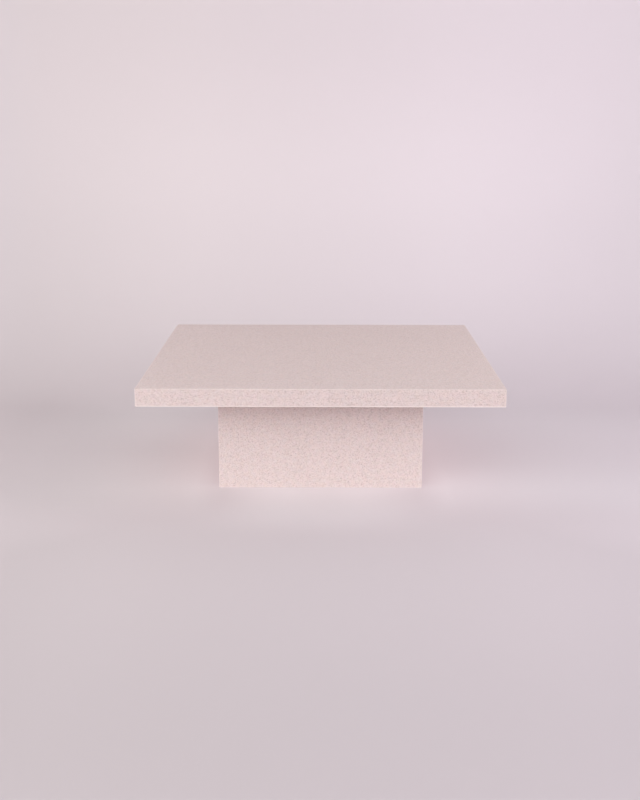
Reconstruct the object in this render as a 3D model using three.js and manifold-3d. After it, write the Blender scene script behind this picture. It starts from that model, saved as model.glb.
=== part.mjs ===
// Low display table: a square speckled slab carried on a square hollow plinth.
// The slab is a thin speckled sheet mitred round a half-lapped timber core. The plinth is four mitred
// sheets round a plywood carcass, open underneath, and it stands on four adjustable levelling feet.
// Units are millimetres. +Z is up, the front faces -Y, and the origin is on the floor under the centre.
import * as THREE from "three";
import { mergeVertices } from "three/addons/utils/BufferGeometryUtils.js";
import Module from "manifold-3d";

const wasm = await Module();
wasm.setup();

// Overall sizes
const TABLE_HEIGHT = 308;
const TOP_WIDTH = 900;
const TOP_DEPTH = 900;
const TOP_THICKNESS = 45;
const PLINTH_WIDTH = 530;
const PLINTH_DEPTH = 530;
const FLOOR_GAP = 0.5; // hairline between the plinth and the floor

// Speckled sheet and its joints
const SHEET = 12;
const ARRIS_RADIUS = 1;
const CORNER_EASE = 0.5; // upright corners are eased this much more than the arrises
const GLUE_LINE = 0.3; // gap that every bonded or seated face keeps
const MITRE_SHIFT = GLUE_LINE * Math.SQRT2; // the same gap, measured along the face of a mitred piece

// Slab core
const SOFFIT_THICKNESS = 6;
const EDGE_RAIL_WIDTH = 30;
const CROSS_RAIL_WIDTH = 18;
const FIXING_BLOCK_SIDE = 70;

// Plinth carcass
const CARCASS_PLY = 15;
const TOP_PLATE = 18;
const CARCASS_LIFT = 6; // plywood is held this far above the foot of the sheets
const BOTTOM_RAIL_WIDTH = 25;
const BOTTOM_RAIL_HEIGHT = 40;
const CORNER_BLOCK_HEIGHT = 60;

// Bolts that hold the slab down, and the threaded inserts they run into
const BOLT_DIAMETER = 8;
const BOLT_HOLE_CLEARANCE = 0.5;
const BOLT_HEAD_ACROSS_FLATS = 13;
const BOLT_HEAD_HEIGHT = 6;
const BOLT_FLANGE_DIAMETER = 20;
const BOLT_FLANGE_THICKNESS = 2;
const BOLT_TIP_GAP = 2; // bolt tip stops this far short of the insert's far end
const INSERT_WALL = 2.5;
const INSERT_COVER = 5; // timber left above an insert
const THREAD_CLEARANCE = 0.3;

// Levelling feet
const PAD_DIAMETER = 40;
const PAD_RIM_HEIGHT = 3;
const PAD_RIM_CHAMFER = 1;
const PAD_FLOOR = 2; // pad thickness under the ball
const PAD_HUB_WALL = 3.5;
const PAD_CLEARANCE = 5; // from the pad's rim to the carcass
const BALL_DIAMETER = 11;
const BALL_CLEARANCE = 0.3;
const SOCKET_LIP = 2; // the socket closes over the ball this far above its middle
const NECK_DIAMETER = 6;
const NECK_LENGTH = 2;
const STEM_DIAMETER = 10;
const STEM_LENGTH = 58;
const STEM_CHAMFER = 1;
const COLLAR_ACROSS_FLATS = 17;
const COLLAR_HEIGHT = 6;
const COLLAR_TRAVEL = 4; // room above the collar for drawing the foot in
const NUT_WALL = 1.5;
const NUT_BARREL_LENGTH = 14;
const NUT_FLANGE_DIAMETER = 22;
const NUT_FLANGE_THICKNESS = 1.5;

// Facets and cutting tools
const ROUND_SIDES = 24;
const HEXAGON_SIDES = 6;
const ARRIS_STEPS = 3;
const SOCKET_STEPS = 6;
const TOOL_OVERRUN = 1; // tools reach this far past a face that they open

// Levels and half sizes worked out from the sizes above
const slabBottom = TABLE_HEIGHT - TOP_THICKNESS;
const coreBottom = slabBottom + SOFFIT_THICKNESS + GLUE_LINE;
const coreTop = TABLE_HEIGHT - SHEET - GLUE_LINE;
const coreHeight = coreTop - coreBottom;
const coreHalf = {
  x: TOP_WIDTH / 2 - SHEET - GLUE_LINE,
  y: TOP_DEPTH / 2 - SHEET - GLUE_LINE,
};
const plinthTop = slabBottom - GLUE_LINE;
const carcassBottom = FLOOR_GAP + CARCASS_LIFT;
const carcassTop = plinthTop - TOP_PLATE - GLUE_LINE;
const carcassHalf = {
  x: PLINTH_WIDTH / 2 - SHEET - GLUE_LINE,
  y: PLINTH_DEPTH / 2 - SHEET - GLUE_LINE,
};
const carcassInside = {
  x: carcassHalf.x - CARCASS_PLY - GLUE_LINE,
  y: carcassHalf.y - CARCASS_PLY - GLUE_LINE,
};
const cornerBlockSide = PAD_DIAMETER + 2 * PAD_CLEARANCE;
const footPlace = {
  x: carcassInside.x - cornerBlockSide / 2,
  y: carcassInside.y - cornerBlockSide / 2,
};
// The cross rails of the core stand straight above the plinth's carcass panels.
const crossRail = {
  x: carcassHalf.x - CARCASS_PLY / 2,
  y: carcassHalf.y - CARCASS_PLY / 2,
};
const boltInset = CROSS_RAIL_WIDTH / 2 + GLUE_LINE + FIXING_BLOCK_SIDE / 2;
const boltPlace = { x: crossRail.x - boltInset, y: crossRail.y - boltInset };
const insertLength = coreHeight - INSERT_COVER;
const insertRadius = BOLT_DIAMETER / 2 + THREAD_CLEARANCE + INSERT_WALL;
const boltHoleRadius = BOLT_DIAMETER / 2 + BOLT_HOLE_CLEARANCE;
const socketRadius = BALL_DIAMETER / 2 + BALL_CLEARANCE;
const ballHeight = PAD_FLOOR + socketRadius;
const neckBottom = ballHeight + Math.sqrt(BALL_DIAMETER ** 2 - NECK_DIAMETER ** 2) / 2;
const collarBottom = neckBottom + NECK_LENGTH;
const stemBottom = collarBottom + COLLAR_HEIGHT;
const nutBottom = stemBottom + COLLAR_TRAVEL;
const nutRadius = STEM_DIAMETER / 2 + THREAD_CLEARANCE + NUT_WALL;
const cornerBlockBottom = nutBottom + NUT_FLANGE_THICKNESS + GLUE_LINE;

// Finishes
const FINISHES = {
  speckledSheet: new THREE.MeshStandardMaterial({ color: 0xe0cfcc, roughness: 0.55, metalness: 0 }),
  balancer: new THREE.MeshStandardMaterial({ color: 0xd6c6c2, roughness: 0.7, metalness: 0 }),
  plywood: new THREE.MeshStandardMaterial({ color: 0xcbaa7c, roughness: 0.75, metalness: 0 }),
  zincSteel: new THREE.MeshStandardMaterial({ color: 0xb9bcc0, roughness: 0.35, metalness: 1 }),
  nylon: new THREE.MeshStandardMaterial({ color: 0x2b2b2d, roughness: 0.6, metalness: 0 }),
};

// The four sides of a rectangle, each with the quarter turns that bring it round from the front
const SIDES = ["front", "right", "back", "left"];
// The four corners seen from above, each with its signs along X and Y
const CORNERS = {
  front_left: [-1, -1],
  front_right: [1, -1],
  back_right: [1, 1],
  back_left: [-1, 1],
};

// Closed solid as a boolean operand
function toSolid(geometry) {
  const bare = geometry.clone();
  bare.deleteAttribute("normal");
  bare.deleteAttribute("uv");
  const merged = mergeVertices(bare);
  return new wasm.Manifold(
    new wasm.Mesh({
      numProp: 3,
      vertProperties: merged.attributes.position.array,
      triVerts: new Uint32Array(merged.index.array),
    }),
  );
}

// Boolean result as a geometry
function toGeometry(solid) {
  const mesh = solid.getMesh();
  const geometry = new THREE.BufferGeometry();
  geometry.setAttribute("position", new THREE.BufferAttribute(mesh.vertProperties, 3));
  geometry.setIndex(new THREE.BufferAttribute(mesh.triVerts, 1));
  geometry.computeVertexNormals();
  return geometry;
}

const cut = (geometry, tools) =>
  toGeometry(tools.reduce((solid, tool) => solid.subtract(toSolid(tool)), toSolid(geometry)));
const join = (a, b) => toGeometry(toSolid(a).add(toSolid(b)));
const common = (a, b) => toGeometry(toSolid(a).intersect(toSolid(b)));

// Skin between two outlines of as many points each, closed with flat ends.
// Seen from the last outline, the points run anticlockwise.
function loft(first, last) {
  const count = first.length;
  const faces = [];
  for (let i = 0; i < count; i += 1) {
    const next = (i + 1) % count;
    faces.push(i, next, count + next, i, count + next, count + i);
  }
  for (let i = 1; i < count - 1; i += 1) {
    faces.push(0, i + 1, i, count, count + i, count + i + 1);
  }
  const geometry = new THREE.BufferGeometry().setFromPoints([...first, ...last]);
  geometry.setIndex(faces);
  return geometry.toNonIndexed();
}

// Block from corner to corner
function block(low, high) {
  const size = new THREE.Vector3().subVectors(high, low);
  const centre = new THREE.Vector3().addVectors(low, high).multiplyScalar(0.5);
  return new THREE.BoxGeometry(size.x, size.y, size.z).translate(centre.x, centre.y, centre.z);
}

// Upright round bar between two levels
function bar(radius, bottom, top, sides = ROUND_SIDES) {
  return new THREE.CylinderGeometry(radius, radius, top - bottom, sides)
    .rotateX(Math.PI / 2)
    .translate(0, 0, (bottom + top) / 2);
}

// Upright hexagon between two levels
const hexagon = (acrossFlats, bottom, top) =>
  bar(acrossFlats / Math.sqrt(3), bottom, top, HEXAGON_SIDES);

// Profile of [radius, height] points turned round the vertical axis
function turned(profile) {
  const points = profile.map(([radius, height]) => new THREE.Vector2(radius, height));
  return new THREE.LatheGeometry(points, ROUND_SIDES).rotateX(Math.PI / 2);
}

// Rectangular block between two levels with every outer arris eased.
// Pieces are trimmed to it, so that the easing runs on from piece to piece across the mitres.
function easedBlock(width, depth, bottom, top) {
  const radius = ARRIS_RADIUS + CORNER_EASE;
  const x = width / 2 - radius;
  const y = depth / 2 - radius;
  const outline = new THREE.Shape();
  outline.absarc(x, -y, radius, -Math.PI / 2, 0);
  outline.absarc(x, y, radius, 0, Math.PI / 2);
  outline.absarc(-x, y, radius, Math.PI / 2, Math.PI);
  outline.absarc(-x, -y, radius, Math.PI, 1.5 * Math.PI);
  const geometry = new THREE.ExtrudeGeometry(outline, {
    depth: top - bottom - 2 * ARRIS_RADIUS,
    curveSegments: 2 * ARRIS_STEPS,
    bevelThickness: ARRIS_RADIUS,
    bevelSize: ARRIS_RADIUS,
    bevelOffset: -ARRIS_RADIUS,
    bevelSegments: ARRIS_STEPS,
  });
  return geometry.translate(0, 0, bottom + ARRIS_RADIUS);
}

// Front strip of a rectangular surround, mitred at both ends.
// The section is a list of [distance in from the front face, height] points, clockwise seen from +X.
function mitredStrip(section, length, frontDistance) {
  const end = (sign) =>
    section.map(([inset, height]) => {
      const reach = length / 2 - inset - MITRE_SHIFT / 2;
      return new THREE.Vector3(sign * reach, inset - frontDistance, height);
    });
  return loft(end(1), end(-1));
}

function named(name, geometry, material) {
  const mesh = new THREE.Mesh(geometry, material);
  mesh.name = name;
  return mesh;
}

// One piece on each side of a rectangle, made as the front one and turned into place
function roundTheSides(prefix, material, makeFront, width, depth) {
  const group = new THREE.Group();
  SIDES.forEach((side, turns) => {
    const alongX = turns % 2 === 0;
    const geometry = alongX ? makeFront(width, depth / 2) : makeFront(depth, width / 2);
    const mesh = named(`${prefix}_${side}`, geometry, material);
    mesh.rotation.z = (turns * Math.PI) / 2;
    group.add(mesh);
  });
  return group;
}

// Plywood frame between two levels: the sides run its full depth, with the front and back between them
function buttedFrame(prefix, half, thickness, bottom, top) {
  const group = new THREE.Group();
  const level = (bottom + top) / 2;
  for (const [side, sign] of [["left", -1], ["right", 1]]) {
    const piece = new THREE.BoxGeometry(thickness, 2 * half.y, top - bottom);
    const mesh = named(`${prefix}_${side}`, piece, FINISHES.plywood);
    mesh.position.set(sign * (half.x - thickness / 2), 0, level);
    group.add(mesh);
  }
  const between = 2 * (half.x - thickness - GLUE_LINE);
  for (const [side, sign] of [["front", -1], ["back", 1]]) {
    const piece = new THREE.BoxGeometry(between, thickness, top - bottom);
    const mesh = named(`${prefix}_${side}`, piece, FINISHES.plywood);
    mesh.position.set(0, sign * (half.y - thickness / 2), level);
    group.add(mesh);
  }
  return group;
}

// One piece at each corner, made on the axis and moved to its place
function atTheCorners(prefix, material, geometry, place) {
  const group = new THREE.Group();
  for (const [corner, [signX, signY]] of Object.entries(CORNERS)) {
    const mesh = named(`${prefix}_${corner}`, geometry, material);
    mesh.position.set(signX * place.x, signY * place.y, 0);
    group.add(mesh);
  }
  return group;
}

// The same upright hole at each corner place
function cornerHoles(radius, bottom, top, place) {
  return Object.values(CORNERS).map(([signX, signY]) =>
    bar(radius, bottom, top).translate(signX * place.x, signY * place.y, 0),
  );
}

// Speckled sheet on top of the slab, mitred underneath all round
function makeTopPanel() {
  const corners = (halfWidth, halfDepth, level) =>
    Object.values(CORNERS).map(
      ([signX, signY]) => new THREE.Vector3(signX * halfWidth, signY * halfDepth, level),
    );
  const halfWidth = TOP_WIDTH / 2;
  const halfDepth = TOP_DEPTH / 2;
  const under = corners(halfWidth - SHEET, halfDepth - SHEET, TABLE_HEIGHT - SHEET);
  const over = corners(halfWidth, halfDepth, TABLE_HEIGHT);
  const envelope = easedBlock(TOP_WIDTH, TOP_DEPTH, slabBottom, TABLE_HEIGHT);
  return named("top_panel", common(loft(under, over), envelope), FINISHES.speckledSheet);
}

// Speckled downstand edges of the slab, mitred to the top panel and to each other
function makeTopEdges() {
  const section = [
    [0, slabBottom],
    [0, TABLE_HEIGHT - MITRE_SHIFT],
    [SHEET, TABLE_HEIGHT - SHEET - MITRE_SHIFT],
    [SHEET, slabBottom],
  ];
  const front = (length, distance) => {
    const envelope = easedBlock(length, 2 * distance, slabBottom, TABLE_HEIGHT);
    return common(mitredStrip(section, length, distance), envelope);
  };
  return roundTheSides("top_edge", FINISHES.speckledSheet, front, TOP_WIDTH, TOP_DEPTH);
}

// Balancing panel that closes the slab underneath, drilled for the bolts
function makeSoffit() {
  const panel = block(
    new THREE.Vector3(-coreHalf.x, -coreHalf.y, slabBottom),
    new THREE.Vector3(coreHalf.x, coreHalf.y, slabBottom + SOFFIT_THICKNESS),
  );
  const holes = cornerHoles(boltHoleRadius, slabBottom - TOOL_OVERRUN, coreBottom + TOOL_OVERRUN, boltPlace);
  return named("soffit_panel", cut(panel, holes), FINISHES.balancer);
}

// Rails round the edge of the core
function makeEdgeRails() {
  return buttedFrame("core_edge_rail", coreHalf, EDGE_RAIL_WIDTH, coreBottom, coreTop);
}

// Rail along X with a half-lap notch over each rail that it crosses
function crossRailBar(halfLength, crossings, notchFromTop) {
  const rail = new THREE.BoxGeometry(2 * halfLength, CROSS_RAIL_WIDTH, coreHeight);
  const notchWidth = CROSS_RAIL_WIDTH + 2 * GLUE_LINE;
  const notchDepth = CROSS_RAIL_WIDTH + 2 * TOOL_OVERRUN;
  const notchHeight = (coreHeight + GLUE_LINE) / 2 + TOOL_OVERRUN;
  const lift = (notchFromTop ? 1 : -1) * ((coreHeight - notchHeight) / 2 + TOOL_OVERRUN);
  const notches = [-crossings, crossings].map((place) =>
    new THREE.BoxGeometry(notchWidth, notchDepth, notchHeight).translate(place, 0, lift),
  );
  return cut(rail, notches);
}

// Half-lapped grid of rails over the plinth's walls
function makeCrossRails() {
  const group = new THREE.Group();
  const level = (coreBottom + coreTop) / 2;
  const reach = (half) => half - EDGE_RAIL_WIDTH - GLUE_LINE;
  for (const [side, sign] of [["front", -1], ["back", 1]]) {
    const rail = crossRailBar(reach(coreHalf.x), crossRail.x, true);
    const mesh = named(`core_cross_rail_${side}`, rail, FINISHES.plywood);
    mesh.position.set(0, sign * crossRail.y, level);
    group.add(mesh);
  }
  for (const [side, sign] of [["left", -1], ["right", 1]]) {
    const rail = crossRailBar(reach(coreHalf.y), crossRail.y, false);
    const mesh = named(`core_cross_rail_${side}`, rail, FINISHES.plywood);
    mesh.rotation.z = Math.PI / 2;
    mesh.position.set(sign * crossRail.x, 0, level);
    group.add(mesh);
  }
  return group;
}

// Timber blocks in the corners of the grid, bored for the threaded inserts
function makeFixingBlocks() {
  const half = FIXING_BLOCK_SIDE / 2;
  const timber = block(
    new THREE.Vector3(-half, -half, coreBottom),
    new THREE.Vector3(half, half, coreTop),
  );
  const boreTop = coreBottom + insertLength + GLUE_LINE;
  const bore = bar(insertRadius + GLUE_LINE, coreBottom - TOOL_OVERRUN, boreTop);
  return atTheCorners("fixing_block", FINISHES.plywood, cut(timber, [bore]), boltPlace);
}

// Threaded inserts, open at both ends
function makeInserts() {
  const sleeve = bar(insertRadius, coreBottom, coreBottom + insertLength);
  const bore = bar(BOLT_DIAMETER / 2 + THREAD_CLEARANCE, coreBottom - TOOL_OVERRUN, coreTop);
  return atTheCorners("threaded_insert", FINISHES.zincSteel, cut(sleeve, [bore]), boltPlace);
}

// Flanged bolts, put in from inside the plinth
function makeBolts() {
  const seat = plinthTop - TOP_PLATE - GLUE_LINE;
  const flangeBottom = seat - BOLT_FLANGE_THICKNESS;
  const tip = coreBottom + insertLength - BOLT_TIP_GAP;
  const shankAndFlange = turned([
    [0, flangeBottom],
    [BOLT_FLANGE_DIAMETER / 2, flangeBottom],
    [BOLT_FLANGE_DIAMETER / 2, seat],
    [BOLT_DIAMETER / 2, seat],
    [BOLT_DIAMETER / 2, tip],
    [0, tip],
  ]);
  const head = hexagon(BOLT_HEAD_ACROSS_FLATS, flangeBottom - BOLT_HEAD_HEIGHT, seat);
  return atTheCorners("slab_bolt", FINISHES.zincSteel, join(shankAndFlange, head), boltPlace);
}

// Speckled sheets round the plinth, mitred at the corners and cut square at the foot
function makePlinthPanels() {
  const section = [
    [0, FLOOR_GAP],
    [0, plinthTop],
    [SHEET, plinthTop],
    [SHEET, FLOOR_GAP],
  ];
  const front = (length, distance) => {
    const envelope = easedBlock(length, 2 * distance, FLOOR_GAP - ARRIS_RADIUS, plinthTop);
    return common(mitredStrip(section, length, distance), envelope);
  };
  return roundTheSides("plinth_panel", FINISHES.speckledSheet, front, PLINTH_WIDTH, PLINTH_DEPTH);
}

// Plywood behind the plinth's sheets
function makeCarcass() {
  return buttedFrame("carcass", carcassHalf, CARCASS_PLY, carcassBottom, carcassTop);
}

// Plywood plate on top of the carcass, which the slab is bolted to
function makeTopPlate() {
  const plate = block(
    new THREE.Vector3(-carcassHalf.x, -carcassHalf.y, plinthTop - TOP_PLATE),
    new THREE.Vector3(carcassHalf.x, carcassHalf.y, plinthTop),
  );
  const holes = cornerHoles(boltHoleRadius, carcassTop, slabBottom + TOOL_OVERRUN, boltPlace);
  return named("plinth_top_plate", cut(plate, holes), FINISHES.plywood);
}

// Rails along the foot of the carcass, between the corner blocks
function makeBottomRails() {
  const front = (length, distance) => {
    const half = length / 2 - cornerBlockSide - GLUE_LINE;
    return block(
      new THREE.Vector3(-half, -distance, carcassBottom),
      new THREE.Vector3(half, -distance + BOTTOM_RAIL_WIDTH, carcassBottom + BOTTOM_RAIL_HEIGHT),
    );
  };
  return roundTheSides("bottom_rail", FINISHES.plywood, front, 2 * carcassInside.x, 2 * carcassInside.y);
}

// Blocks in the corners of the carcass, bored for the levelling feet
function makeCornerBlocks() {
  const half = cornerBlockSide / 2;
  const top = cornerBlockBottom + CORNER_BLOCK_HEIGHT;
  const timber = block(
    new THREE.Vector3(-half, -half, cornerBlockBottom),
    new THREE.Vector3(half, half, top),
  );
  const bore = bar(nutRadius + GLUE_LINE, cornerBlockBottom - TOOL_OVERRUN, top + TOOL_OVERRUN);
  return atTheCorners("corner_block", FINISHES.plywood, cut(timber, [bore]), footPlace);
}

// Flanged nuts let into the corner blocks from below
function makeFootNuts() {
  const flangeTop = nutBottom + NUT_FLANGE_THICKNESS;
  const bore = STEM_DIAMETER / 2 + THREAD_CLEARANCE;
  const nut = turned([
    [bore, nutBottom],
    [NUT_FLANGE_DIAMETER / 2, nutBottom],
    [NUT_FLANGE_DIAMETER / 2, flangeTop],
    [nutRadius, flangeTop],
    [nutRadius, flangeTop + NUT_BARREL_LENGTH],
    [bore, flangeTop + NUT_BARREL_LENGTH],
    [bore, nutBottom],
  ]);
  return atTheCorners("foot_nut", FINISHES.zincSteel, nut, footPlace);
}

// Points of an arc about a centre on the vertical axis, between two angles up from the horizontal
function arcPoints(radius, centre, from, to) {
  return Array.from({ length: SOCKET_STEPS + 1 }, (_, step) => {
    const angle = from + ((to - from) * step) / SOCKET_STEPS;
    return [Math.max(0, radius * Math.cos(angle)), centre + radius * Math.sin(angle)];
  });
}

// Foot stems: a ball below, a spanner collar, and the screwed length that runs in the nut
function makeFootStems() {
  const stemTop = stemBottom + STEM_LENGTH;
  const neckAngle = Math.acos(NECK_DIAMETER / BALL_DIAMETER);
  const profile = [
    ...arcPoints(BALL_DIAMETER / 2, ballHeight, -Math.PI / 2, neckAngle),
    [NECK_DIAMETER / 2, collarBottom],
    [STEM_DIAMETER / 2, collarBottom],
    [STEM_DIAMETER / 2, stemTop - STEM_CHAMFER],
    [STEM_DIAMETER / 2 - STEM_CHAMFER, stemTop],
    [0, stemTop],
  ];
  const collar = hexagon(COLLAR_ACROSS_FLATS, collarBottom, stemBottom);
  return atTheCorners("foot_stem", FINISHES.zincSteel, join(turned(profile), collar), footPlace);
}

// Foot pads: a chamfered disc that rises to a hub with a socket for the ball
function makeFootPads() {
  const rim = PAD_DIAMETER / 2;
  const hubTop = ballHeight + SOCKET_LIP;
  const lipAngle = Math.asin(SOCKET_LIP / socketRadius);
  const profile = [
    [0, 0],
    [rim - PAD_RIM_CHAMFER, 0],
    [rim, PAD_RIM_CHAMFER],
    [rim, PAD_RIM_HEIGHT],
    [socketRadius + PAD_HUB_WALL, hubTop],
    ...arcPoints(socketRadius, ballHeight, lipAngle, -Math.PI / 2),
  ];
  return atTheCorners("foot_pad", FINISHES.nylon, turned(profile), footPlace);
}

const slab = new THREE.Group();
slab.add(makeTopPanel(), makeTopEdges(), makeSoffit());
slab.add(makeEdgeRails(), makeCrossRails(), makeFixingBlocks(), makeInserts());

const plinth = new THREE.Group();
plinth.add(makePlinthPanels(), makeCarcass(), makeTopPlate());
plinth.add(makeBottomRails(), makeCornerBlocks(), makeBolts());

const feet = new THREE.Group();
feet.add(makeFootNuts(), makeFootStems(), makeFootPads());

const displayTable = new THREE.Group();
displayTable.add(slab, plinth, feet);

export default displayTable;
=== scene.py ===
"""Looks for a low display table: a square slab of speckled cast sheet on a hollow square plinth.

The slab and the plinth are clad in thin sheets that meet in mitres along their arrises. The mitres are
closed with a colour-matched filler. Underneath, the plinth is open: its plywood carcass, the bolts that
hold the slab down and four levelling feet show. Everything is in metres, in the frame of the solids.
"""
import logging
import math
from collections.abc import Callable, Iterable, Sequence
from dataclasses import dataclass, field
from enum import Enum
from functools import cache
from typing import Any

import bmesh
import bpy
from mathutils import Matrix, Vector


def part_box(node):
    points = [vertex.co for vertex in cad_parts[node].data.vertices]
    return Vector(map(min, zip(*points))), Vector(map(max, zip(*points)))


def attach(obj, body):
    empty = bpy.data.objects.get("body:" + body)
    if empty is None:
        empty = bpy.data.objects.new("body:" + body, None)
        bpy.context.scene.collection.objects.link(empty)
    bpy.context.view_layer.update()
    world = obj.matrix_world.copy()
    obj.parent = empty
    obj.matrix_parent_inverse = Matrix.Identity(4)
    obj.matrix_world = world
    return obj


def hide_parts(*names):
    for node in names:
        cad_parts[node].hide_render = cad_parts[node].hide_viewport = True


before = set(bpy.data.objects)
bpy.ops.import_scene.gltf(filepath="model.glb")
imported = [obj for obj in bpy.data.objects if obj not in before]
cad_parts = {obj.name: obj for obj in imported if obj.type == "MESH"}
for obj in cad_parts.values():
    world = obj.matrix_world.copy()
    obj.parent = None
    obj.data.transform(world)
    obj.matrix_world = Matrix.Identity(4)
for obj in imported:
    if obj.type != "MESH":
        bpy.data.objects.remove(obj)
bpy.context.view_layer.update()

Colour = tuple[float, float, float]
Point = tuple[float, float, float]
Span = tuple[float, float]
Socket = bpy.types.NodeSocket
Sockets = tuple[Socket, Socket, Socket]
Feed = Socket | float | Colour
Ring = list[Vector]

MM = 0.001
TABLE_BODY = "table"
SURROUND: Colour = (0.700, 0.630, 0.670)
UNTINTED: Colour = (1.0, 1.0, 1.0)
RISING: Span = (0.0, 1.0)
FALLING: Span = (1.0, 0.0)
NOISE_SPREAD: Span = (0.3, 0.7)
SHARP_FOLD = math.radians(32.0)
# Angles along a turned profile, in degrees up from outwards.
DOWN = -90.0
OUTWARDS = 0.0
UP = 90.0
# Lowest ring of a ball: just short of straight down, so that the ring isn't a point.
NADIR = -88.0
# Sockets for colours on a Mix node, which has others of the same names for numbers and vectors.
MIX_FIRST = 6
MIX_SECOND = 7
MIX_RESULT = 2

logging.basicConfig(level=logging.INFO, format="%(name)s: %(message)s")
log = logging.getLogger("display_table")


class Axis(Enum):
    """A direction of the frame, by its place in a vector."""

    X = 0
    Y = 1
    Z = 2


class Side(Enum):
    """The four sides of the table, seen from above."""

    FRONT = "front"
    RIGHT = "right"
    BACK = "back"
    LEFT = "left"

    @property
    def across(self) -> Axis:
        """Axis that a panel on this side is thin along."""
        return Axis.Y if self in (Side.FRONT, Side.BACK) else Axis.X

    @property
    def along(self) -> Axis:
        """Axis that a panel on this side runs along."""
        return Axis.X if self.across is Axis.Y else Axis.Y

    @classmethod
    def names(cls, stem: str) -> tuple[str, ...]:
        """Names of the nodes that are alike on every side."""
        return tuple(f"{stem}_{side.value}" for side in cls)


class Corner(Enum):
    """The four corners of the table, each with its signs along X and Y."""

    FRONT_LEFT = (-1, -1)
    FRONT_RIGHT = (1, -1)
    BACK_RIGHT = (1, 1)
    BACK_LEFT = (-1, 1)

    @property
    def label(self) -> str:
        """Corner's name as the nodes and bodies spell it."""
        return self.name.lower()

    @classmethod
    def names(cls, stem: str) -> tuple[str, ...]:
        """Names of the nodes that are alike at every corner."""
        return tuple(f"{stem}_{corner.label}" for corner in cls)


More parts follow.
